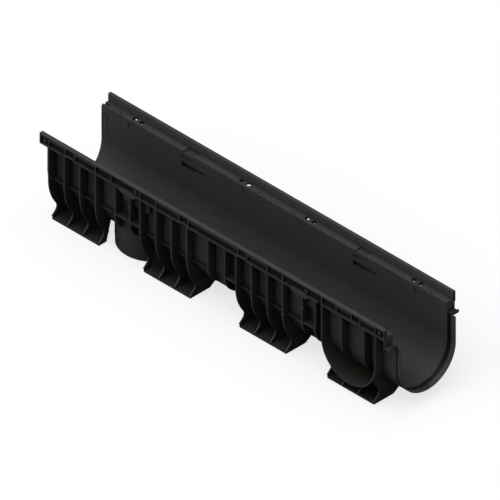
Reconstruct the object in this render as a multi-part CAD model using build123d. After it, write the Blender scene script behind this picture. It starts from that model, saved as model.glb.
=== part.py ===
"""Body of a linear drainage channel, one injection-moulded plastic piece.

A U-shaped trough hangs between two rims that carry a grating. Thin ribs, a stringer
on each side and four pairs of feet stiffen it. One end is a plain male end, the other
a socket with snap hooks. A round outlet stub stands under the trough, and a U-shaped
collar on each flank takes a side branch.

Frame: X along the channel, Y across it, Z up, in millimetres. The origin is on the
floor, below the middle of the whole length and width. A "place" is a distance along
the channel from the rims' plain end. A "drop" is a distance below the top of the rims.
"""
import os
from math import sqrt

from build123d import *

# Overall size
rim_length = 1000.0         # one end of the rims to the other
overall_height = 208.0      # foot soles to the top of the rims
socket_reach = 24.0         # how far the socket stands out past the rims
plain_reach = 2.0           # how far the trough does at the plain end
middle = rim_length / 2

# Trough
trough_radius = 77.4        # inside of the U
trough_wall = 3.0
trough_lift = 23.0          # its underside above the floor

# Rim and grating seat
seat_width = 17.3           # from the trough's flank to the rim
rim_width = 8.8             # top face of a rim
rim_wall = 4.1
lip_height = 4.3            # outer lip along the top of a rim
lip_radius = 1.6            # its rounded outer edge
seat_depth = 18.7           # rim top to the grating seat
seat_root_radius = 2.5
nose_height = 9.0           # thickened front edge of the seat
nose_proud = 0.7
skirt_gap = 2.2             # from the lip to a narrower band below it, in stretches
skirt_height = 2.9
skirt_set_back = 1.0

# Stringer, the flange along each flank
stringer_drop = 22.4
stringer_plate = 3.8
stringer_gap_end = 0.6      # the gap ends this far before the side branch collar
stringer_gap_length = 8.8

# Pockets, where the stringer runs higher
pocket_starts = (74.0, middle - 96.0, middle + 74.4, rim_length - 96.4)
pocket_length = 26.0
pocket_rise = 2.8

# Feet: each is a pair of soles under a row of ribs
foot_starts = (23.8, middle - 210.8, middle + 67.4, rim_length - 177.6)
ribs_in_foot = 4
rib_pitch = 45.3
rib_plate = 3.2
rib_set_back = 0.6          # rib edges behind the outer edge of the rim
foot_bend = -2.2            # start of a foot rib's long curve above the centre of the U's arc
foot_curve_radius = 116.0   # that curve, down to the waist
waist_set_back = 29.0       # waist's sharp corner behind the rib's outer edge
waist_radius = 13.0         # its rounding
toe_set_back = 9.4          # sole's outer edge behind the outer edge of the rim
toe_height = 5.0            # a rib's upright front edge on the sole
heel_set_back = 66.0        # where a rib's lower edge leaves the floor
sole_plate = 3.0
sole_depth = 51.0
sole_corner_radius = 6.0    # rounds the outer corner towards the plain end, ribs and all

# Short ribs, which curve back into the trough's wall
short_rib_places = (216.8, 259.2, middle - 13.8, middle + 35.2, rim_length - 240.2, rim_length - 202.8)
short_rib_radius = 50.0
short_rib_bend = 7.2        # start of that curve above the centre of the U's arc

# Posts between lip and stringer, besides those over ribs and beside pockets
post_places = (206.2, rim_length - 139.6)
post_plate = 3.0

# Shelves between the ribs
shelf_plate = 2.6
shelf_level = -3.2          # its top above the centre of the U's arc
shelf_set_back = 13.6       # its edge behind the outer edge of the rim
low_shelf_level = -10.9
low_shelf_set_back = 17.5
wide_shelf_level = 9.6

# Outlet stub under the trough
outlet_place = 228.2
outlet_radius = 80.0
outlet_wall = 3.2
outlet_lift = 2.0           # its rim above the floor
outlet_clearance = 17.0     # feet cut back around it, at the floor
outlet_clearance_above = 5.0
outlet_shoulder_height = 21.0   # where the pipe's socket stops
outlet_shoulder = 0.6       # its step

# Side branch collars
collar_place = rim_length - 104.6
collar_radius = 79.0        # outside
collar_wall = 3.2
collar_rib_offsets = (-22.5, 42.7)
collar_rib_set_back = 0.8

# Holes in the grating seat
pilot_places = (50.0, middle - 50.0, middle + 50.0, rim_length - 50.0)
pilot_radius = 2.0
pilot_depth = 5.0
pilot_inset = 5.2           # hole axis from the trough's flank
bolt_pair_places = (95.0, middle - 95.0, middle + 95.0, rim_length - 95.0)
bolt_spacing = 20.0
bolt_hole_radius = 5.8
bolt_inset = 11.0

# Grating locks: a recess in the seat, a slit and a latch pocket in the flank
lock_places = (252.0, rim_length - 249.2)
lock_length = 32.0
lock_depth = 2.6
lock_slot_depth = 2.4
latch_lead = 21.5           # pocket's start before the lock's middle
latch_length = 37.5
latch_drop = 45.8
latch_height = 12.2
latch_depth = 9.0
latch_tail_length = 27.0
latch_tail_height = 7.0
latch_tail_depth = 5.0
latch_ramp_length = 9.0
slit_drop = 31.0
slit_height = 4.2
slit_depth = 6.0
latch_case_wall = 2.4

# Housing on the stringer, outside each lock
housing_lead = 27.6
housing_length = 52.0
housing_drop = 19.3
housing_height = 13.7
housing_slant = 13.0

# Ramped notches in the flanks
notch_places = (74.4, middle - 94.6, middle + 75.0, rim_length - 94.2)
notch_drop = 26.5
notch_height = 11.0
notch_length = 17.0
notch_depth = 1.7

# End plates of the rims
end_plate = 2.6
end_plate_drop = 47.0       # lower edge of the one at the socket end
end_plate_set_back = 2.0    # its edge below the stringer, behind the outer edge of the rim

# Plain end
spigot_length = 20.0        # from the rims' end; the trough is thinner outside here
spigot_depth = 1.5
seat_slot_width = 6.0
seat_slot_length = 16.0
seat_slot_depth = 3.6
seat_slot_inset = 6.6
tongue_start = 0.2          # snap tongue cut into each flank
tongue_width = 15.4
tongue_drop = 38.0
tongue_length = 45.0
tongue_slit = 1.7
tongue_corner = 3.5

# Socket end
socket_clearance = 0.3      # around the next channel's plain end
socket_wall = 1.5
socket_overlap = 6.0        # of its wall with the trough's
flare_length = 9.0          # from the trough's inside to the socket's
socket_top_drop = 43.0
seal_groove_start = 3.4     # groove inside, past the flare
seal_groove_width = 5.0
seal_groove_depth = 0.8
groove_start = 12.6         # groove outside
groove_width = 4.2
groove_depth = 0.7
hook_length = 13.0          # arm out of the end plate, at its foot, with a tooth at its tip
hook_arm = 4.0
hook_tooth_height = 5.5
hook_tooth_length = 5.0
hook_set_back = 3.0         # behind the outer edge of the rim
latch_slot_start = 11.5
latch_slot_length = 10.0
latch_slot_width = 6.0
latch_slot_depth = 0.9
latch_tongue_width = 7.0

# Working values
half_width = trough_radius + seat_width + rim_width
overall_length = plain_reach + rim_length + socket_reach
outer_radius = trough_radius + trough_wall
arc_height = trough_lift + outer_radius
seat_top = overall_height - seat_depth
seat_edge = half_width - rim_width
wall_face = seat_edge + rim_wall
lip_bottom = overall_height - lip_height
stringer_top = overall_height - stringer_drop
stringer_bottom = stringer_top - stringer_plate
rib_edge = half_width - rib_set_back
foot_reach = (ribs_in_foot - 1) * rib_pitch + rib_plate
collar_leg = collar_radius - collar_wall / 2
spigot_radius = outer_radius - spigot_depth
socket_inner = spigot_radius + socket_clearance
socket_outer = socket_inner + socket_wall
socket_top = overall_height - socket_top_drop
bite = 1.0                  # overlap that lets fused forms share material
tiny = 0.01                 # two points nearer than this are one

BASE = (Align.CENTER, Align.CENTER, Align.MIN)


def at(place):
    """X of a place along the channel."""
    return place + plain_reach - overall_length / 2


def across(section, start, length):
    """Extrude a cross-section (Y, Z) along the channel from a place."""
    return extrude(Plane.YZ.offset(at(start)) * section, length, dir=(1, 0, 0))


def outward(section, inner, outer):
    """Extrude a side view (place, height) on the +Y flank between two distances out."""
    plane = Plane((at(0), inner, 0), x_dir=(1, 0, 0), z_dir=(0, -1, 0))
    return extrude(plane * section, outer - inner, dir=(0, 1, 0))


def both_flanks(form):
    """A form and its mirror image on the other flank."""
    return form + mirror(form, about=Plane.XZ)


def block(start, length, inner, outer, bottom, top):
    """A box on the +Y flank between two places, two distances out and two heights."""
    centre = Pos((inner + outer) / 2, (bottom + top) / 2)
    return across(centre * Rectangle(outer - inner, top - bottom), start, length)


def u_section(radius, top):
    """A half circle with straight sides up to the given height."""
    with BuildSketch() as sketch:
        with BuildLine():
            ThreePointArc((-radius, arc_height), (0, arc_height - radius), (radius, arc_height))
            Polyline((radius, arc_height), (radius, top), (-radius, top), (-radius, arc_height))
        make_face()
    return sketch.sketch


def mirrored(section):
    """A half section joined with its mirror image."""
    return section + mirror(section, about=Plane.YZ)


def rim_section():
    """Rim, grating seat, nose and stringer of the +Y flank."""
    nose_edge = trough_radius - nose_proud
    nose_bottom = seat_top - nose_height
    with BuildSketch() as sketch:
        with BuildLine():
            Polyline(
                (nose_edge, seat_top),
                (seat_edge, seat_top),
                (seat_edge, overall_height),
                (half_width, overall_height),
                (half_width, lip_bottom),
                (wall_face, lip_bottom),
                (wall_face, stringer_top),
                (half_width, stringer_top),
                (half_width, stringer_bottom),
                (outer_radius - bite, stringer_bottom),
                (outer_radius - bite, nose_bottom - nose_proud),
                (trough_radius, nose_bottom - nose_proud),
                (nose_edge, nose_bottom),
                close=True,
            )
        make_face()
        corners = sketch.vertices()
        fillet(corners.filter_by(lambda v: v.Y == overall_height and v.X == half_width), lip_radius)
        fillet(corners.filter_by(lambda v: v.Y == seat_top and v.X == seat_edge), seat_root_radius)
    return sketch.sketch


def foot_rib_section():
    """Half of a foot rib: straight flank, long curve, waist, toe and sloping lower edge."""
    waist = rib_edge - waist_set_back
    toe = half_width - toe_set_back
    bend = arc_height + foot_bend
    waist_height = bend - sqrt(foot_curve_radius ** 2 - (foot_curve_radius - waist_set_back) ** 2)
    with BuildSketch() as sketch:
        with BuildLine():
            Polyline((0, arc_height), (0, stringer_bottom + bite), (rib_edge, stringer_bottom + bite),
                     (rib_edge, bend))
            RadiusArc((rib_edge, bend), (waist, waist_height), foot_curve_radius)
            Polyline((waist, waist_height), (toe, toe_height), (toe, 0), (half_width - heel_set_back, 0),
                     (0, arc_height - outer_radius + bite), (0, arc_height))
        make_face()
        fillet(sketch.vertices().filter_by(lambda v: abs(v.X - waist) < tiny), waist_radius)
    return sketch.sketch


def short_rib_section(edge):
    """Half of a short rib that curves back into the trough's wall."""
    bend = arc_height + short_rib_bend
    arc_end = (edge - short_rib_radius, bend - short_rib_radius)
    with BuildSketch() as sketch:
        with BuildLine():
            Polyline(arc_end, (0, arc_height), (0, stringer_bottom + bite),
                     (edge, stringer_bottom + bite), (edge, bend))
            RadiusArc((edge, bend), arc_end, short_rib_radius)
        make_face()
    return sketch.sketch


def foot(start):
    """One pair of feet: a row of ribs on a pair of soles, clear of the outlet stub."""
    section = mirrored(foot_rib_section())
    forms = [across(section, start + number * rib_pitch, rib_plate) for number in range(ribs_in_foot)]
    toe = half_width - toe_set_back
    sole = both_flanks(block(start, foot_reach, toe - sole_depth, toe, 0, sole_plate))
    corner = Pos(at(start) + sole_corner_radius / 2, toe - sole_corner_radius / 2)
    rounding = Pos(at(start) + sole_corner_radius, toe - sole_corner_radius)
    off = corner * Rectangle(sole_corner_radius, sole_corner_radius) - rounding * Circle(sole_corner_radius)
    off = both_flanks(extrude(off, sole_corner_radius))
    return [forms[0] - off, sole - off] + forms[1:]


def outlet_clear_zone():
    """Room that the feet leave around the outlet stub."""
    below_flank = arc_height - outlet_radius / 2
    return Pos(at(outlet_place), 0, 0) * Cone(
        outlet_radius + outlet_clearance, outlet_radius + outlet_clearance_above, below_flank, align=BASE)


def shelf(start, end, level, edge):
    """A thin shelf along both flanks between two places."""
    top = arc_height + level
    return both_flanks(block(start, end - start, trough_radius + bite, edge, top - shelf_plate, top))


def shelves():
    """Narrow shelves within and beside the feet, wide ones between short ribs."""
    narrow = half_width - shelf_set_back
    low = half_width - low_shelf_set_back
    return [
        shelf(foot_starts[0], short_rib_places[0], shelf_level, narrow),
        shelf(foot_starts[1], short_rib_places[2], low_shelf_level, low),
        shelf(foot_starts[2], short_rib_places[4], shelf_level, narrow),
        shelf(short_rib_places[0], foot_starts[1], wide_shelf_level, rib_edge),
        shelf(short_rib_places[3], foot_starts[2], wide_shelf_level, rib_edge),
        shelf(short_rib_places[4], short_rib_places[5], wide_shelf_level, rib_edge),
    ]


def housing(place):
    """Slanted housing on the stringer, outside a grating lock."""
    start = place - housing_lead
    end = start + housing_length
    top = overall_height - housing_drop
    bottom = top - housing_height
    side = Polygon((start, stringer_bottom), (start + housing_slant, top), (end - housing_slant, top),
                   (end, stringer_top), (end, bottom), (start + housing_slant, bottom), align=None)
    return outward(side, outer_radius - bite, half_width)


def latch_case(place):
    """Case behind a latch pocket, outside the flank."""
    start = place - latch_lead - latch_case_wall
    length = latch_length + latch_tail_length + latch_ramp_length + latch_case_wall
    bottom = overall_height - latch_drop - latch_height - latch_case_wall
    return block(start, length, trough_radius + bite, trough_radius + latch_depth + latch_case_wall,
                 bottom, stringer_bottom + bite)


def latch_cuts(place):
    """Slit, latch pocket, its shallow tail and the ramp that ends it."""
    start = place - latch_lead
    tail = start + latch_length
    ramp = tail + latch_tail_length
    inner = trough_radius - bite
    top = overall_height - latch_drop
    slit_top = overall_height - slit_drop
    slit = Polygon((start, slit_top), (start + latch_length, slit_top),
                   (start, slit_top - slit_height), align=None)
    ramp_side = Polygon((ramp - bite, top - bite), (ramp + latch_ramp_length, top - latch_height),
                        (ramp - bite, top - latch_tail_height), align=None)
    return [
        block(start, latch_length, inner, trough_radius + latch_depth, top - latch_height, top),
        block(tail - bite, latch_tail_length + bite, inner, trough_radius + latch_tail_depth,
              top - latch_tail_height, top),
        outward(slit, inner, trough_radius + slit_depth),
        outward(ramp_side, inner, trough_radius + trough_wall),
    ]


def notch(place):
    """Notch in the flank, deep at one end and running out at the other."""
    height = overall_height - notch_drop - notch_height
    start, end = at(place), at(place) + notch_length
    plan = Polygon((start, trough_radius - bite), (start, trough_radius + notch_depth),
                   (end, trough_radius), (end, trough_radius - bite), align=None)
    return extrude(Pos(0, 0, height) * plan, notch_height, dir=(0, 0, 1))


def rims():
    """Rim of the +Y flank with its end plates, posts, skirts and pockets."""
    first_foot = [foot_starts[0] + rib_plate / 2, foot_starts[0] + foot_reach - rib_plate / 2]
    second_foot = [foot_starts[1] + rib_plate / 2, foot_starts[1] + rib_plate / 2 + rib_pitch]
    third_foot_end = foot_starts[2] + foot_reach - rib_plate / 2
    third_foot = [third_foot_end - rib_pitch, third_foot_end]
    collar_legs = [collar_place - collar_leg, collar_place + collar_leg]
    pocket_ends = [start + pocket_length for start in pocket_starts]
    posts = first_foot + second_foot + third_foot + collar_legs
    posts += list(post_places) + list(pocket_starts) + pocket_ends
    skirts = [
        (first_foot[0], pocket_starts[0]), (pocket_ends[0], first_foot[1]),
        (second_foot[1], pocket_starts[1]), (pocket_ends[1], pocket_starts[2]),
        (pocket_ends[2], third_foot[0]), (post_places[1], pocket_starts[3]),
        (pocket_ends[3], collar_legs[1]),
    ]
    rim = across(rim_section(), 0, rim_length)
    inner = wall_face - bite
    forms = [block(place - post_plate / 2, post_plate, inner, rib_edge, stringer_top - bite,
                   lip_bottom + bite) for place in posts]
    skirt_top = lip_bottom - skirt_gap
    forms += [block(start, end - start, inner, half_width - skirt_set_back, skirt_top - skirt_height,
                    skirt_top) for start, end in skirts]
    forms += [block(start, pocket_length, inner, half_width, stringer_bottom + pocket_rise,
                    stringer_top + pocket_rise) for start in pocket_starts]
    forms += [block(start, end_plate, inner, half_width, stringer_top - bite, lip_bottom + bite)
              for start in (0, rim_length - end_plate)]
    forms.append(block(rim_length - end_plate, end_plate, outer_radius - bite,
                       half_width - end_plate_set_back, overall_height - end_plate_drop, stringer_top))
    forms += [housing(place) for place in lock_places]
    cuts = [block(start + post_plate / 2, pocket_length - post_plate, outer_radius + bite,
                  half_width + bite, stringer_bottom - bite, stringer_bottom + pocket_rise)
            for start in pocket_starts]
    gap_end = collar_place - collar_radius - stringer_gap_end
    cuts.append(block(gap_end - stringer_gap_length, stringer_gap_length, wall_face,
                      half_width + bite, stringer_bottom - bite, stringer_top + bite))
    return (rim + forms) - cuts


def collar_blank():
    """Outside of the side branch collars, solid from one flank to the other."""
    shape = Pos(collar_place, 0) * u_section(collar_radius, stringer_bottom + bite)
    return outward(shape, -rib_edge, rib_edge)


def collar_hollow():
    """Hollow of the collars, outside the trough's wall."""
    shape = Pos(collar_place, 0) * u_section(collar_radius - collar_wall, stringer_bottom)
    return outward(shape, -half_width, half_width) - trough_blank()


def trough_blank():
    """Outside of the trough, solid, with its thinner spigot at the plain end."""
    spigot = across(u_section(spigot_radius, stringer_top), -plain_reach, plain_reach + spigot_length)
    return spigot + across(u_section(outer_radius, stringer_top), spigot_length, rim_length - spigot_length)


def outlet_blank():
    """Outside of the outlet stub: a pipe's end below, a slightly wider shoulder above."""
    stub = Cylinder(outlet_radius, arc_height - outlet_lift, align=BASE)
    shoulder = Cylinder(outlet_radius + outlet_shoulder, arc_height - outlet_shoulder_height, align=BASE)
    shoulder = Pos(0, 0, outlet_shoulder_height - outlet_lift) * shoulder
    return Pos(at(outlet_place), 0, outlet_lift) * (stub + shoulder)


def outlet_bore():
    """Hollow of the outlet stub, closed above by the trough's floor."""
    bore = Cylinder(outlet_radius - outlet_wall, arc_height, align=BASE)
    return Pos(at(outlet_place), 0, 0) * bore - trough_blank()


def socket():
    """Socket at the far end, with its outside groove and snap hooks."""
    start = rim_length - socket_overlap
    shell = across(u_section(socket_outer, socket_top), start, socket_reach + socket_overlap)
    past_top = socket_top + bite
    groove = u_section(socket_outer + bite, past_top) - u_section(socket_outer - groove_depth, past_top)
    shell = shell - across(groove, rim_length + groove_start, groove_width)
    hook_start = rim_length - end_plate
    hook_end = rim_length + hook_length
    hook_bottom = overall_height - end_plate_drop
    hook_top = hook_bottom + hook_arm
    hook = Polygon((hook_start, hook_bottom), (hook_end, hook_bottom),
                   (hook_end, hook_top + hook_tooth_height),
                   (hook_end - hook_tooth_length, hook_top), (hook_start, hook_top), align=None)
    return shell + both_flanks(outward(hook, socket_inner + bite, half_width - hook_set_back))


def socket_bore():
    """Hollow of the socket: the flare that leads out of the trough, the seal groove and latch slots."""
    past_top = overall_height + bite
    flare_start = rim_length - socket_overlap
    flare_end = flare_start + flare_length
    flare = loft([
        Plane.YZ.offset(at(flare_start)) * u_section(trough_radius, past_top),
        Plane.YZ.offset(at(flare_end)) * u_section(socket_inner, past_top),
    ])
    room = across(u_section(socket_inner, past_top), flare_end, rim_length + socket_reach - flare_end + bite)
    groove = across(u_section(socket_inner + seal_groove_depth, past_top), rim_length + seal_groove_start,
                    seal_groove_width)
    half_tongue = latch_tongue_width / 2
    bottom = arc_height - socket_inner - latch_slot_depth
    latch_slot = block(rim_length + latch_slot_start, latch_slot_length, half_tongue,
                       half_tongue + latch_slot_width, bottom, bottom + trough_radius / 2)
    return flare + [room, groove, both_flanks(latch_slot)]


def seat_cuts():
    """Pilot holes, bolt holes and lock recesses in the seat of the +Y rim."""
    bolt_places = [place + side * bolt_spacing / 2 for place in bolt_pair_places for side in (-1, 1)]
    pilot = Cylinder(pilot_radius, pilot_depth + bite, align=BASE)
    bolt_hole = Cylinder(bolt_hole_radius, seat_top - stringer_bottom + 2 * bite, align=BASE)
    cuts = [Pos(at(place), trough_radius + pilot_inset, seat_top - pilot_depth) * pilot
            for place in pilot_places]
    cuts += [Pos(at(place), trough_radius + bolt_inset, stringer_bottom - bite) * bolt_hole
             for place in bolt_places]
    floor = seat_top - lock_depth
    for place in lock_places:
        start = place - lock_length / 2
        cuts.append(block(start, lock_length, trough_radius - 2 * bite, seat_edge, floor, seat_top + bite))
        cuts.append(block(start, lock_length, seat_edge - bite, seat_edge + lock_slot_depth, floor, seat_top))
    slot_middle = trough_radius + seat_slot_inset
    slot = Pos(at(0), slot_middle) * SlotOverall(2 * seat_slot_length, seat_slot_width)
    cuts.append(extrude(Pos(0, 0, seat_top - seat_slot_depth) * slot, seat_slot_depth + bite))
    return cuts


def tongue_cut():
    """Inverted U slit that frees a snap tongue in the flank at the plain end."""
    top = overall_height - tongue_drop
    centre = tongue_start + tongue_width / 2
    outer = RectangleRounded(tongue_width, 2 * tongue_length, tongue_corner)
    inner = Rectangle(tongue_width - 2 * tongue_slit, 2 * (tongue_length - tongue_slit))
    below = Pos(0, -tongue_length) * Rectangle(2 * tongue_width, 2 * tongue_length)
    slit = Pos(centre, top - tongue_length) * (outer - inner - below)
    return outward(slit, trough_radius - bite, outer_radius + bite)


def flank_cuts():
    """Notches, latch pockets and snap tongue of the +Y flank."""
    cuts = [notch(place) for place in notch_places]
    for place in lock_places:
        cuts += latch_cuts(place)
    return cuts + [tongue_cut()]


def channel_body():
    """The whole moulded piece."""
    clear_zone = outlet_clear_zone()
    feet = [form - clear_zone for start in foot_starts for form in foot(start)]
    short_rib = mirrored(short_rib_section(rib_edge))
    collar_rib = mirrored(short_rib_section(rib_edge - collar_rib_set_back))
    short_ribs = [across(short_rib, place, rib_plate) for place in short_rib_places]
    collar_ribs = [across(collar_rib, collar_place + offset, rib_plate) for offset in collar_rib_offsets]
    rim = rims()
    cases = [both_flanks(latch_case(place)) for place in lock_places]
    body = trough_blank() + [rim, mirror(rim, about=Plane.XZ)] + feet + shelves() + short_ribs + cases
    body = body + [collar_blank(), outlet_blank()]
    body = body - [collar_hollow(), outlet_bore()]
    body = body + collar_ribs + [socket()]
    bore = u_section(trough_radius, overall_height + bite)
    bore = across(bore, -plain_reach - bite, plain_reach + rim_length)
    body = body - [bore, socket_bore()]
    return body - [both_flanks(form) for form in seat_cuts() + flank_cuts()]


if __name__ == "__main__":
    os.makedirs("parts", exist_ok=True)
    export_step(channel_body(), "parts/channel_body.step")
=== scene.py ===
"""Dresses the moulded body of a linear drainage channel and puts it on a plain pale floor.

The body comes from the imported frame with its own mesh. This script gives it its black
moulded polypropylene, adds the small moulded rings and closes a few gaps, and makes the
stage: floor, light and camera. X runs along the channel towards its socket end, Y across
it, Z up.
"""

from math import cos, pi, radians, sin

import bmesh
import bpy
from bpy.props import FloatProperty, FloatVectorProperty, IntProperty, PointerProperty
from mathutils import Matrix, Vector


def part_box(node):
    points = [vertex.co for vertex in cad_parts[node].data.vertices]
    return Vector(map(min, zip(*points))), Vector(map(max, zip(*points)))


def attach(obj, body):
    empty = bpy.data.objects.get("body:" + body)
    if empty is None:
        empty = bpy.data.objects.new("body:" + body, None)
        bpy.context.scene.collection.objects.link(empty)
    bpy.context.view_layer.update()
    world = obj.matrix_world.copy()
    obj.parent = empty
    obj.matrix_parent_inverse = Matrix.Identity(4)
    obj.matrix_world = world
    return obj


bl_info = {
    "name": "Channel drain body",
    "version": (1, 0, 0),
    "blender": (4, 5, 0),
    "location": "3D View > Sidebar > Channel drain",
    "description": "Moulded channel body, its rings and closures, and a plain stage",
    "category": "Object",
}

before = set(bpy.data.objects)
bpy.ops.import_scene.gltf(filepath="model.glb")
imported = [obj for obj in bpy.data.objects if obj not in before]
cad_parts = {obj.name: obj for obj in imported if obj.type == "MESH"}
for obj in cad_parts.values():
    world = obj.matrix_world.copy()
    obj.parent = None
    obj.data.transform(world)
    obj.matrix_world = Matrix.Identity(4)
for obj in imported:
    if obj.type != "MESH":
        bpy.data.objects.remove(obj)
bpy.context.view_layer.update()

BODY = "channel_body"
# name of the plastic painted in deep shade
DEEP_SHADE = "polypropylene_painted_deep_shade"
LOW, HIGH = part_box(BODY)
MILLIMETRE = 0.001
PLAIN_REACH = 2 * MILLIMETRE                  # how far the trough stands out past the rims
SOCKET_REACH = 24 * MILLIMETRE                # how far the socket does at the other end
RIM_START = LOW.x + PLAIN_REACH
SOCKET_START = HIGH.x - SOCKET_REACH          # where the rims end
RIM_LENGTH = SOCKET_START - RIM_START
AXIS_HEIGHT = LOW.z + 103.4 * MILLIMETRE      # of the U that the trough and the socket follow
FLOOR_DROP = 0.1 * MILLIMETRE                 # floor below the soles
RIB_SET_BACK = 0.6 * MILLIMETRE               # rib edges behind the outer edge of the rim
# a disc in painted deep shade sits this far inside each rib ring's bore
BORE_FLOOR = 0.15 * MILLIMETRE                # bottom of a rib ring's bore before the rib's edge
RIM_RING_PLACES = (                           # along the rims
    15 * MILLIMETRE, 277 * MILLIMETRE,
    RIM_LENGTH - 227 * MILLIMETRE, RIM_LENGTH - 15 * MILLIMETRE)
RIB_RING_PLACES = (                           # along the rims, and below their top
    (260.8 * MILLIMETRE, 58.6 * MILLIMETRE),
    (290.8 * MILLIMETRE, 106 * MILLIMETRE),
    (RIM_LENGTH - 238.6 * MILLIMETRE, 60 * MILLIMETRE),
    (RIM_LENGTH - 295.1 * MILLIMETRE, 105.5 * MILLIMETRE))
# places painted in deep shade: the back of the recess under the lip, and the socket's bands below
LIP_RECESS_BACK = 4.7 * MILLIMETRE            # back of the recess under the lip, from its edge
LIP_RECESS_SLACK = 1.6 * MILLIMETRE           # how far in front of or behind it still counts
LIP_RECESS_MIDDLE = 13.4 * MILLIMETRE         # below the top of the rims
LIP_RECESS_HEIGHT = 18 * MILLIMETRE
SOCKET_BANDS = (                              # middle and half width along X, radius and its slack
    (SOCKET_START + 6 * MILLIMETRE, 5.6 * MILLIMETRE, 79.5 * MILLIMETRE, 0.8 * MILLIMETRE),
    (SOCKET_START + 14.7 * MILLIMETRE, 2.3 * MILLIMETRE, 80 * MILLIMETRE, 0.25 * MILLIMETRE))
NOISE_SPAN = {"From Min": 0.3, "From Max": 0.7}       # values that a noise seldom leaves
EDGE_SPAN = {"From Min": 0.52, "From Max": 0.6}       # pointiness from flat to sharp
# the painted shade in recesses follows this share of open air
OPEN_SPAN = {"From Min": 0.25, "From Max": 0.75}      # share of open air from recess to open
FLOW_DETAIL, GRAIN_DETAIL, RUB_AND_HIGHLIGHT_DETAIL = 3.0, 2.0, 4.0
CLOSENESS_SAMPLES = 8
LAMP_SIDE = Vector((-0.15, -0.4, 0.9))        # from the body towards the overhead lamp
NEAR_SIDE = (0.4, -0.917, 0.0)                # from the body towards the warm side of the dome
CAMERA_DISTANCE = 3.0                         # metres from the aim


def linear(hex_colour):
    """An sRGB hex colour as linear red, green, blue and alpha."""
    parts = [int(hex_colour[i:i + 2], 16) / 255 for i in (1, 3, 5)]
    curve = [c / 12.92 if c <= 0.04045 else ((c + 0.055) / 1.055) ** 2.4 for c in parts]
    return (*curve, 1.0)


def add_node(tree, kind, settings=None, inputs=None, links=None):
    """Add one shader node with its settings, input values and links from other sockets."""
    node = tree.nodes.new(kind)
    for name, value in (settings or {}).items():
        setattr(node, name, value)
    for name, value in (inputs or {}).items():
        node.inputs[name].default_value = value
    for name, socket in (links or {}).items():
        tree.links.new(socket, node.inputs[name])
    return node


def new_material(name):
    """An empty node material with its output node."""
    material = bpy.data.materials.new(name)
    material.use_nodes = True
    material.node_tree.nodes.clear()
    output = add_node(material.node_tree, "ShaderNodeOutputMaterial")
    return material, material.node_tree, output


def noise(tree, vector, width, detail):
    """A noise whose patches are about as wide as asked."""
    return add_node(tree, "ShaderNodeTexNoise", inputs={"Scale": 1 / width, "Detail": detail},
                    links={"Vector": vector}).outputs["Fac"]


def overlap(tree, *ranges):
    """Mask that is 1 where both values are within their slack of their middle."""
    first, second = [
        add_node(tree, "ShaderNodeMath", {"operation": "COMPARE"}, {1: middle, 2: slack},
                 {0: value})
        for value, middle, slack in ranges]
    return add_node(tree, "ShaderNodeMath", {"operation": "MULTIPLY"}, links={
        0: first.outputs["Value"], 1: second.outputs["Value"]}).outputs["Value"]


def painted_deep_shade_mask(tree, place):
    """Mask where deep shade is painted: the recess under the lip, the band inside the socket and
    its outside groove.
    """
    spot = add_node(tree, "ShaderNodeSeparateXYZ", links={"Vector": place}).outputs
    out = add_node(tree, "ShaderNodeMath", {"operation": "ABSOLUTE"}, links={0: spot["Y"]})
    below = add_node(tree, "ShaderNodeMath", {"operation": "SUBTRACT"}, {1: AXIS_HEIGHT},
                     {0: spot["Z"]})
    under = add_node(tree, "ShaderNodeMath", {"operation": "MINIMUM"}, {1: 0.0},
                     {0: below.outputs["Value"]})
    across = add_node(tree, "ShaderNodeCombineXYZ",
                      links={"Y": spot["Y"], "Z": under.outputs["Value"]})
    radius = add_node(tree, "ShaderNodeVectorMath", {"operation": "LENGTH"},
                      links={0: across.outputs["Vector"]})
    mask = overlap(tree, (out.outputs["Value"], HIGH.y - LIP_RECESS_BACK, LIP_RECESS_SLACK),
                   (spot["Z"], HIGH.z - LIP_RECESS_MIDDLE, LIP_RECESS_HEIGHT / 2))
    for middle, half_width, band_radius, slack in SOCKET_BANDS:
        band = overlap(tree, (spot["X"], middle, half_width),
                       (radius.outputs["Value"], band_radius, slack))
        mask = add_node(tree, "ShaderNodeMath", {"operation": "MAXIMUM"},
                        links={0: mask, 1: band}).outputs["Value"]
    return mask


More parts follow.
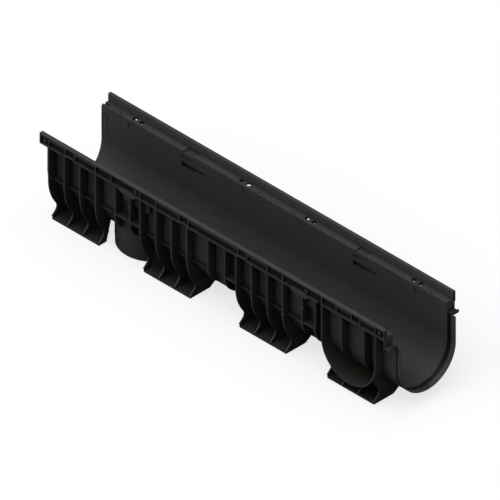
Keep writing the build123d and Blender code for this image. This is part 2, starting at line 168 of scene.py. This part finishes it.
def moulded_polypropylene(finish, bore=False):
    """Black polypropylene, injection moulded in a spark-eroded steel mould.

    It is near black with a faint cool cast, and satin rather than glossy, because the mould's
    fine grain scatters the shine. Flow of the melt leaves faint cloudy bands of other colour
    and gloss along the channel. Sharp edges are a little lighter in patches, partly as wear
    from handling and partly as a painted highlight. Shade is painted into the colour too: a
    browner black where other walls come near, and a painted deep shade in bores, on slot and
    slit floors, under the lip and in the socket's bands.
    """
    material, tree, output = new_material(DEEP_SHADE if bore else "moulded_black_polypropylene")
    open_colour, flow_colour = finish.colour, finish.flow_colour
    # This kind is painted deep shade all over, standing in for the shade in bores, slots and slits.
    if bore:
        open_colour = flow_colour = finish.deep_shade_colour
    place = add_node(tree, "ShaderNodeTexCoord").outputs["Object"]
    along = add_node(tree, "ShaderNodeMapping", inputs={"Scale": (finish.flow_stretch, 1.0, 1.0)},
                     links={"Vector": place})
    flow = noise(tree, along.outputs["Vector"], finish.flow_width, FLOW_DETAIL)
    grain = noise(tree, place, finish.grain_width, GRAIN_DETAIL)
    rub = noise(tree, place, finish.rub_and_highlight_width, RUB_AND_HIGHLIGHT_DETAIL)

    cloud = add_node(tree, "ShaderNodeMapRange", inputs=NOISE_SPAN, links={"Value": flow})
    colour = add_node(tree, "ShaderNodeMix", {"data_type": "RGBA"},
                      {"A": (*open_colour, 1.0), "B": (*flow_colour, 1.0)},
                      {"Factor": cloud.outputs["Result"]})
    # Edge lightening: sharp edges turn lighter in patches, partly as wear and partly as a painted
    # highlight.
    edge = add_node(tree, "ShaderNodeNewGeometry").outputs["Pointiness"]
    edge_share = add_node(tree, "ShaderNodeMapRange",
                          inputs={**EDGE_SPAN, "To Max": finish.edge_wear_and_highlight_strength}, links={"Value": edge})
    edge_mask = add_node(tree, "ShaderNodeMath", {"operation": "MULTIPLY"},
                         links={0: edge_share.outputs["Result"], 1: rub})
    worn_and_highlit = add_node(tree, "ShaderNodeMix", {"data_type": "RGBA"}, {"B": (*finish.edge_wear_and_highlight_colour, 1.0)},
                    {"Factor": edge_mask.outputs["Value"], "A": colour.outputs["Result"]})
    # Painted shade: the colour turns to the recess shade colour where other walls come near,
    # standing in for their shadow.
    closeness = add_node(tree, "ShaderNodeAmbientOcclusion", {"samples": CLOSENESS_SAMPLES},
                         {"Distance": finish.recess_shade_reach})
    open_air = add_node(tree, "ShaderNodeMapRange", inputs=OPEN_SPAN,
                        links={"Value": closeness.outputs["AO"]})
    shaded = add_node(tree, "ShaderNodeMix", {"data_type": "RGBA"},
                      {"A": (*finish.recess_shade_colour, 1.0)},
                      {"Factor": open_air.outputs["Result"], "B": worn_and_highlit.outputs["Result"]})
    # Painted deep shade over the recess under the lip and the socket's bands.
    darkened = add_node(tree, "ShaderNodeMix", {"data_type": "RGBA"},
                        {"B": (*finish.deep_shade_colour, 1.0)},
                        {"Factor": painted_deep_shade_mask(tree, place), "A": shaded.outputs["Result"]})

    gloss = {"To Min": finish.roughness - finish.flow_gloss,
             "To Max": finish.roughness + finish.flow_gloss}
    rough = add_node(tree, "ShaderNodeMapRange", inputs={**NOISE_SPAN, **gloss},
                     links={"Value": flow})
    bump = add_node(tree, "ShaderNodeBump",
                    inputs={"Strength": finish.grain_strength, "Distance": finish.grain_depth},
                    links={"Height": grain})
    shader = add_node(
        tree, "ShaderNodeBsdfPrincipled",
        inputs={"IOR": finish.ior, "Metallic": 0.0, "Specular IOR Level": finish.shine},
        links={"Base Color": darkened.outputs["Result"], "Roughness": rough.outputs["Result"],
               "Normal": bump.outputs["Normal"]})
    tree.links.new(shader.outputs["BSDF"], output.inputs["Surface"])
    return material


def plastics(context):
    """The body's own plastic, and its copy in painted deep shade, made once."""
    dark = bpy.data.materials.get(DEEP_SHADE) or moulded_polypropylene(
        context.scene.channel_finish, bore=True)
    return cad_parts[BODY].data.materials[0], dark


def pale_floor(stage):
    """Matt white floor paint: white to the camera, with the body's soft shadow kept.

    Light that goes on to the body meets a dimmer floor, so that its dark undersides stay dark,
    and the satin plastic mirrors only a share of the white.
    """
    material, tree, output = new_material("matt_white_floor")
    seen = add_node(tree, "ShaderNodeBsdfDiffuse", inputs={"Color": (*stage.floor_colour, 1.0)})
    lift = add_node(tree, "ShaderNodeEmission", inputs={"Strength": stage.floor_lift})
    bright = add_node(tree, "ShaderNodeAddShader",
                      links={0: seen.outputs["BSDF"], 1: lift.outputs["Emission"]})
    dim = add_node(tree, "ShaderNodeBsdfDiffuse", inputs={"Color": (*stage.floor_bounce, 1.0)})
    ray = add_node(tree, "ShaderNodeLightPath")
    clear = add_node(tree, "ShaderNodeMath", {"operation": "ADD"},
                     links={0: ray.outputs["Is Camera Ray"], 1: ray.outputs["Is Transmission Ray"]})
    white = add_node(tree, "ShaderNodeMath", {"operation": "MULTIPLY_ADD", "use_clamp": True},
                     {1: stage.floor_gloss},
                     {0: ray.outputs["Is Glossy Ray"], 2: clear.outputs["Value"]})
    mix = add_node(tree, "ShaderNodeMixShader", links={
        0: white.outputs["Value"], 1: dim.outputs["BSDF"], 2: bright.outputs["Shader"]})
    tree.links.new(mix.outputs["Shader"], output.inputs["Surface"])
    return material


def mesh_piece(name, shape, material):
    """A new object from a finished bmesh, with its material."""
    mesh = bpy.data.meshes.new(name)
    shape.to_mesh(mesh)
    shape.free()
    mesh.materials.append(material)
    piece = bpy.data.objects.new(name, mesh)
    bpy.context.scene.collection.objects.link(piece)
    return piece


def mould_on(pieces):
    """Make pieces of the moulding that ride with the body, each from a name, shape and material."""
    for name, shape, material in pieces:
        piece = mesh_piece(name, shape, material)
        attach(piece, "root")


def facing_out(place, side, set_back, drop):
    """Where a ring faces out of a flank.

    It takes the place along the rims, the side, the set-back and the depth below the top.
    """
    spot = Vector((RIM_START + place, side * (HIGH.y - set_back), HIGH.z - drop))
    return Matrix.Translation(spot) @ Matrix.Rotation(side * pi / 2, 4, "X")


def washer(shape, spot, radius, bore, depth, segments, cuts=()):
    """Add a flat ring, cut by planes, drawn out along its own axis and put in its spot.

    Each cut is a point and the direction of what it takes away, both in the ring's own terms.
    """
    ring = bmesh.new()
    if bore:
        for size in (radius, bore):
            bmesh.ops.create_circle(ring, segments=segments, radius=size)
        bmesh.ops.bridge_loops(ring, edges=ring.edges[:])
    else:
        bmesh.ops.create_circle(ring, cap_ends=True, segments=segments, radius=radius)
    for point, away in cuts:
        bmesh.ops.bisect_plane(ring, geom=ring.verts[:] + ring.edges[:] + ring.faces[:],
                               plane_co=point, plane_no=away, clear_outer=True)
    drawn = bmesh.ops.extrude_face_region(ring, geom=ring.faces[:], use_keep_orig=True)
    moved = [item for item in drawn["geom"] if isinstance(item, bmesh.types.BMVert)]
    bmesh.ops.translate(ring, verts=moved, vec=(0, 0, depth))
    bmesh.ops.transform(ring, matrix=spot, verts=ring.verts)
    bmesh.ops.recalc_face_normals(ring, faces=ring.faces)
    mesh = bpy.data.meshes.new("ring")
    ring.to_mesh(mesh)
    ring.free()
    shape.from_mesh(mesh)
    bpy.data.meshes.remove(mesh)


class FinishSettings(bpy.types.PropertyGroup):
    """Colours and surface of the moulded plastic."""

    colour: FloatVectorProperty(
        name="Colour", description="Plastic's colour, linear", subtype="COLOR", size=3,
        default=linear("#3F4243")[:3])
    flow_colour: FloatVectorProperty(
        name="Flow colour", description="Its colour in the cloudy flow bands, linear",
        subtype="COLOR", size=3, default=linear("#414445")[:3])
    # Painted shade: the colour that recesses darken to, standing in for the shade of walls close
    # by.
    recess_shade_colour: FloatVectorProperty(
        name="Recess colour", description="Its colour deep in recesses, linear",
        subtype="COLOR", size=3, default=linear("#292521")[:3])
    # Painted deep shade: colour of bores, slot and slit floors, the recess under the lip and the
    # socket's bands.
    deep_shade_colour: FloatVectorProperty(
        name="Bore colour", description="Its colour in bores and in the darkest recesses, linear",
        subtype="COLOR", size=3, default=linear("#191715")[:3])
    # How far the painted shade in recesses reaches.
    recess_shade_reach: FloatProperty(
        name="Recess reach", description="How near other walls make a recess", unit="LENGTH",
        default=150 * MILLIMETRE)
    # Edge lightening, partly wear from handling and partly a painted highlight on sharp edges.
    edge_wear_and_highlight_colour: FloatVectorProperty(
        name="Edge colour", description="Its colour on rubbed edges, linear",
        subtype="COLOR", size=3, default=linear("#5A5B59")[:3])
    edge_wear_and_highlight_strength: FloatProperty(
        name="Edge rub", description="How strongly edges are rubbed", default=0.5, min=0.0, max=1.0)
    roughness: FloatProperty(
        name="Roughness", description="Of the satin surface", default=0.5, min=0.0, max=1.0)
    shine: FloatProperty(
        name="Shine", description="Specular level, dimmed by the mould's grain", default=0.2,
        min=0.0, max=1.0)
    flow_gloss: FloatProperty(
        name="Flow gloss", description="Change of roughness in the flow bands", default=0.03,
        min=0.0, max=0.3)
    ior: FloatProperty(name="IOR", description="Of polypropylene", default=1.49, min=1.0, max=2.0)
    flow_width: FloatProperty(
        name="Flow width", description="Width of a flow band", unit="LENGTH",
        default=60 * MILLIMETRE)
    flow_stretch: FloatProperty(
        name="Flow stretch", description="Width of a band over its length", default=0.3)
    grain_width: FloatProperty(
        name="Grain width", description="Of the mould's grain, drawn coarser than a real one",
        unit="LENGTH", default=0.6 * MILLIMETRE)
    grain_depth: FloatProperty(
        name="Grain depth", description="Depth of the mould's grain", unit="LENGTH",
        default=0.05 * MILLIMETRE)
    grain_strength: FloatProperty(
        name="Grain strength", description="Of the bump", default=0.25, min=0.0, max=1.0)
    # Patches of the edge lightening, partly wear and partly painted highlight.
    rub_and_highlight_width: FloatProperty(
        name="Rub width", description="Size of the rubbed patches", unit="LENGTH",
        default=12 * MILLIMETRE)


class RingSettings(bpy.types.PropertyGroup):
    """Sizes of the rings moulded under the rims and on rib edges."""

    radius: FloatProperty(
        name="Radius", description="Outside", unit="LENGTH", default=4.4 * MILLIMETRE)
    bore: FloatProperty(
        name="Bore", description="Radius of its hole", unit="LENGTH", default=1.9 * MILLIMETRE)
    depth: FloatProperty(
        name="Depth", description="Along Y", unit="LENGTH", default=4.6 * MILLIMETRE)
    drop: FloatProperty(
        name="Drop", description="Its centre below the top of the rims", unit="LENGTH",
        default=12.7 * MILLIMETRE)
    rib_radius: FloatProperty(
        name="Rib ring radius", description="Outside, of those on rib edges", unit="LENGTH",
        default=3.7 * MILLIMETRE)
    rib_bore: FloatProperty(
        name="Rib ring bore", description="Radius of its hole", unit="LENGTH",
        default=1.5 * MILLIMETRE)
    segments: IntProperty(name="Segments", description="Around a ring", default=28, min=8, max=64)


class ClosureSettings(bpy.types.PropertyGroup):
    """Sizes of the webs beside the outlet stub, and of the floors in slots and slits."""

    outlet_place: FloatProperty(
        name="Outlet", description="Its axis, along the rims", unit="LENGTH",
        default=228.2 * MILLIMETRE)
    web_radius: FloatProperty(
        name="Web radius", description="Outside, in the sole", unit="LENGTH",
        default=98 * MILLIMETRE)
    web_bore: FloatProperty(
        name="Web bore", description="Radius that leaves the stub free", unit="LENGTH",
        default=80.3 * MILLIMETRE)
    web_start: FloatProperty(
        name="Web start", description="From the stub's axis along the channel", unit="LENGTH",
        default=54 * MILLIMETRE)
    web_inner: FloatProperty(
        name="Web's inner edge", description="From the middle of the channel", unit="LENGTH",
        default=43.1 * MILLIMETRE)
    web_thickness: FloatProperty(
        name="Web thickness", description="A little less than the sole's", unit="LENGTH",
        default=2.8 * MILLIMETRE)
    clearance: FloatProperty(
        name="Clearance", description="Webs above the soles' underside", unit="LENGTH",
        default=0.1 * MILLIMETRE)
    slot_start: FloatProperty(
        name="Slot start", description="Past the rims' end", unit="LENGTH",
        default=11.5 * MILLIMETRE)
    slot_length: FloatProperty(
        name="Slot length", description="Along X", unit="LENGTH", default=10 * MILLIMETRE)
    slot_inner: FloatProperty(
        name="Slot's inner side", description="From the middle", unit="LENGTH",
        default=3.2 * MILLIMETRE)
    slot_outer: FloatProperty(
        name="Slot's outer side", description="From the middle", unit="LENGTH",
        default=9.8 * MILLIMETRE)
    slot_radius: FloatProperty(
        name="Slot floor radius", description="Outside, at the bottom of the socket's groove",
        unit="LENGTH", default=80 * MILLIMETRE)
    slot_bore: FloatProperty(
        name="Slot floor bore", description="Radius of its upper face", unit="LENGTH",
        default=79.5 * MILLIMETRE)
    slit_middle: FloatProperty(
        name="Tongue's middle", description="Along the rims", unit="LENGTH",
        default=7.9 * MILLIMETRE)
    slit_drop: FloatProperty(
        name="Middle of the slits", description="Below the top of the rims", unit="LENGTH",
        default=60.5 * MILLIMETRE)
    slit_out: FloatProperty(
        name="Slit floor", description="Its middle, inside the wall, from that of the channel",
        unit="LENGTH", default=78.4 * MILLIMETRE)
    slit_size: FloatVectorProperty(
        name="Slit floor size", description="Along X, Y and Z", subtype="TRANSLATION", size=3,
        default=(17.4 * MILLIMETRE, 0.4 * MILLIMETRE, 49 * MILLIMETRE))
    segments: IntProperty(
        name="Segments", description="Around a full ring", default=180, min=60, max=360)


class StageSettings(bpy.types.PropertyGroup):
    """Floor, light and camera."""

    floor_side: FloatProperty(
        name="Floor side", description="Length of its side", unit="LENGTH", default=40.0)
    floor_colour: FloatVectorProperty(
        name="Floor colour", description="As the camera sees it, linear", subtype="COLOR", size=3,
        default=linear("#A8A8A8")[:3])
    floor_bounce: FloatVectorProperty(
        name="Floor bounce", description="As the body sees it, linear", subtype="COLOR", size=3,
        default=linear("#5A5550")[:3])
    floor_gloss: FloatProperty(
        name="Floor gloss", description="Share of the white that the plastic mirrors", default=0.05,
        min=0.0, max=1.0)
    floor_lift: FloatProperty(
        name="Floor lift", description="Own light towards the camera", default=0.72)
    key_strength: FloatProperty(
        name="Key strength", description="Of the soft lamp overhead", default=0.25)
    key_spread: FloatProperty(
        name="Key spread", description="Angle that it fills, for soft shadows", subtype="ANGLE",
        default=radians(60))
    dome_strength: FloatProperty(
        name="Dome strength", description="Light from all around", default=1.0)
    dome_focus: FloatProperty(
        name="Dome focus", description="How closely its bright part gathers about the lamp's side",
        default=2.2)
    overhead_colour: FloatVectorProperty(
        name="Overhead light", description="Linear", subtype="COLOR", size=3,
        default=(1.32, 1.32, 1.3), min=0.0, max=4.0)
    near_colour: FloatVectorProperty(
        name="Light on the warm side", description="Linear", subtype="COLOR", size=3,
        default=(0.38, 0.32, 0.26), min=0.0, max=4.0)
    far_colour: FloatVectorProperty(
        name="Light on the dim side", description="Linear", subtype="COLOR", size=3,
        default=(0.06, 0.06, 0.06), min=0.0, max=4.0)
    azimuth: FloatProperty(
        name="Azimuth", description="Of the view, from straight before the near flank",
        subtype="ANGLE", default=radians(45.13))
    elevation: FloatProperty(
        name="Elevation", description="Of the view", subtype="ANGLE", default=radians(35.08))
    view_height: FloatProperty(
        name="View height", description="Length that the picture's side covers", unit="LENGTH",
        default=1.0242)
    aim: FloatVectorProperty(
        name="Aim", description="Point in the middle of the picture", subtype="TRANSLATION", size=3,
        default=(-14.6 * MILLIMETRE, 10.8 * MILLIMETRE, 104 * MILLIMETRE))


class CHANNEL_OT_body(bpy.types.Operator):
    """Give the moulded body its finish"""

    bl_idname = "channel.body"
    bl_label = "Moulded body"

    def execute(self, context):
        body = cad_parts[BODY]
        body.data.materials.clear()
        body.data.materials.append(moulded_polypropylene(context.scene.channel_finish))
        return {"FINISHED"}


class CHANNEL_OT_rings(bpy.types.Operator):
    """Add the rings moulded between lip and stringer and on rib edges, on both flanks"""

    bl_idname = "channel.rings"
    bl_label = "Moulded rings"

    def execute(self, context):
        sizes = context.scene.channel_rings
        rings, bores = bmesh.new(), bmesh.new()
        for side in (-1, 1):
            for place in RIM_RING_PLACES:
                spot = facing_out(place, side, 0.0, sizes.drop)
                washer(rings, spot, sizes.radius, sizes.bore, sizes.depth, sizes.segments)
            for place, drop in RIB_RING_PLACES:
                spot = facing_out(place, side, 0.0, drop)
                washer(rings, spot, sizes.rib_radius, sizes.rib_bore, sizes.depth, sizes.segments)
                # A disc in painted deep shade closes each rib ring's bore, standing in for the
                # shade down the hole.
                spot = facing_out(place, side, RIB_SET_BACK - BORE_FLOOR, drop)
                washer(bores, spot, (sizes.rib_radius + sizes.rib_bore) / 2, 0,
                       sizes.depth - RIB_SET_BACK, sizes.segments)
        plastic, dark = plastics(context)
        mould_on((("moulded_rings", rings, plastic), ("ring_bore_shade_discs", bores, dark)))
        return {"FINISHED"}


class CHANNEL_OT_closures(bpy.types.Operator):
    """Close the soles beside the outlet stub, the socket's latch slots and the tongues' slits"""

    bl_idname = "channel.closures"
    bl_label = "Sole webs, slot floors and slit floors"

    def execute(self, context):
        sizes = context.scene.channel_closures
        segments = sizes.segments
        webs, floors, slits = bmesh.new(), bmesh.new(), bmesh.new()
        outlet = Matrix.Translation((RIM_START + sizes.outlet_place, 0, LOW.z + sizes.clearance))
        downwards = Matrix.Rotation(pi / 2, 4, "Y")
        slots = Matrix.Translation((SOCKET_START + sizes.slot_start, 0, AXIS_HEIGHT)) @ downwards
        for side in (-1, 1):
            cuts = [((sizes.web_start, 0, 0), (-1, 0, 0)),
                    ((0, side * sizes.web_inner, 0), (0, -side, 0))]
            washer(webs, outlet, sizes.web_radius, sizes.web_bore, sizes.web_thickness,
                   segments, cuts)
            cuts = [((0, 0, 0), (-1, 0, 0)),
                    ((0, side * sizes.slot_inner, 0), (0, -side, 0)),
                    ((0, side * sizes.slot_outer, 0), (0, side, 0))]
            washer(floors, slots, sizes.slot_radius, sizes.slot_bore, sizes.slot_length,
                   segments, cuts)
            tongue = Vector((RIM_START + sizes.slit_middle, side * sizes.slit_out,
                             HIGH.z - sizes.slit_drop))
            bmesh.ops.create_cube(
                slits, matrix=Matrix.LocRotScale(tongue, None, Vector(sizes.slit_size)))
        # The slot and slit floors take the plastic painted in deep shade, standing in for the shade
        # inside the slots and slits.
        plastic, dark = plastics(context)
        mould_on((("sole_webs", webs, plastic), ("slot_shade_floors", floors, dark),
                  ("slit_shade_sheets", slits, dark)))
        return {"FINISHED"}


class CHANNEL_OT_stage(bpy.types.Operator):
    """Make the floor, the light and the camera"""

    bl_idname = "channel.stage"
    bl_label = "Stage"

    def execute(self, context):
        stage = context.scene.channel_stage
        self.floor(stage)
        self.light(stage)
        self.dome(stage)
        self.camera(context, stage)
        context.scene.view_settings.view_transform = "Standard"
        return {"FINISHED"}

    def floor(self, stage):
        """A large square floor under the feet."""
        shape = bmesh.new()
        bmesh.ops.create_grid(shape, x_segments=1, y_segments=1, size=stage.floor_side / 2)
        bmesh.ops.translate(shape, verts=shape.verts, vec=(0, 0, LOW.z - FLOOR_DROP))
        floor = mesh_piece("floor", shape, pale_floor(stage))

    def light(self, stage):
        """One wide soft lamp overhead."""
        lamp = bpy.data.lights.new("overhead_lamp", "SUN")
        lamp.energy = stage.key_strength
        lamp.angle = stage.key_spread
        key = bpy.data.objects.new("overhead_lamp", lamp)
        key.rotation_euler = LAMP_SIDE.to_track_quat("Z", "Y").to_euler()
        bpy.context.scene.collection.objects.link(key)

    def dome(self, stage):
        """Light from all around: bright overhead, warm before the near flank, dim behind.

        The camera sees plain white instead of it, past the floor's edges.
        """
        world = bpy.data.worlds.new("soft_studio")
        world.use_nodes = True
        tree = world.node_tree
        tree.nodes.clear()
        ray = add_node(tree, "ShaderNodeTexCoord").outputs["Generated"]
        height = add_node(tree, "ShaderNodeVectorMath", {"operation": "DOT_PRODUCT"},
                          {1: LAMP_SIDE}, {0: ray})
        above = add_node(tree, "ShaderNodeMapRange", links={"Value": height.outputs["Value"]})
        overhead = add_node(tree, "ShaderNodeMath", {"operation": "POWER"}, {1: stage.dome_focus},
                            {0: above.outputs["Result"]})
        side = add_node(tree, "ShaderNodeVectorMath", {"operation": "DOT_PRODUCT"},
                        {1: NEAR_SIDE}, {0: ray})
        near = add_node(tree, "ShaderNodeMapRange", inputs={"From Min": -1.0},
                        links={"Value": side.outputs["Value"]})
        around = add_node(tree, "ShaderNodeMix", {"data_type": "RGBA"},
                          {"A": (*stage.far_colour, 1.0), "B": (*stage.near_colour, 1.0)},
                          {"Factor": near.outputs["Result"]})
        sky = add_node(tree, "ShaderNodeMix", {"data_type": "RGBA"},
                       {"B": (*stage.overhead_colour, 1.0)},
                       {"Factor": overhead.outputs["Value"], "A": around.outputs["Result"]})
        light = add_node(tree, "ShaderNodeBackground", inputs={"Strength": stage.dome_strength},
                         links={"Color": sky.outputs["Result"]})
        seen = add_node(tree, "ShaderNodeBackground", inputs={"Color": linear("#FFFFFF")})
        path = add_node(tree, "ShaderNodeLightPath")
        mix = add_node(tree, "ShaderNodeMixShader", links={
            0: path.outputs["Is Camera Ray"], 1: light.outputs["Background"],
            2: seen.outputs["Background"]})
        output = add_node(tree, "ShaderNodeOutputWorld")
        tree.links.new(mix.outputs["Shader"], output.inputs["Surface"])
        bpy.context.scene.world = world

    def camera(self, context, stage):
        """A parallel view from above the near flank's socket end, close to isometric."""
        lens = bpy.data.cameras.new("isometric_view")
        lens.type = "ORTHO"
        lens.ortho_scale = stage.view_height
        camera = bpy.data.objects.new("isometric_view", lens)
        context.scene.collection.objects.link(camera)
        back = Vector((sin(stage.azimuth) * cos(stage.elevation),
                       -cos(stage.azimuth) * cos(stage.elevation), sin(stage.elevation)))
        camera.location = Vector(stage.aim) + back * CAMERA_DISTANCE
        camera.rotation_euler = back.to_track_quat("Z", "Y").to_euler()
        context.scene.camera = camera


class CHANNEL_PT_panel(bpy.types.Panel):
    """Lists the steps that dress the channel"""

    bl_idname = "CHANNEL_PT_panel"
    bl_label = "Channel drain"
    bl_space_type = "VIEW_3D"
    bl_region_type = "UI"
    bl_category = "Channel drain"

    def draw(self, context):
        for step in STEPS:
            self.layout.operator(step.bl_idname)


STEPS = (CHANNEL_OT_body, CHANNEL_OT_rings, CHANNEL_OT_closures, CHANNEL_OT_stage)
SETTINGS = {
    "channel_finish": FinishSettings,
    "channel_rings": RingSettings,
    "channel_closures": ClosureSettings,
    "channel_stage": StageSettings,
}


def register():
    for kind in (*SETTINGS.values(), *STEPS, CHANNEL_PT_panel):
        bpy.utils.register_class(kind)
    for name, kind in SETTINGS.items():
        setattr(bpy.types.Scene, name, PointerProperty(type=kind))


def unregister():
    for name in SETTINGS:
        delattr(bpy.types.Scene, name)
    for kind in (CHANNEL_PT_panel, *reversed(STEPS), *reversed(SETTINGS.values())):
        bpy.utils.unregister_class(kind)


def main():
    """Dress the channel step by step."""
    register()
    bpy.ops.channel.body()
    bpy.ops.channel.rings()
    bpy.ops.channel.closures()
    bpy.ops.channel.stage()


if __name__ == "__main__":
    main()
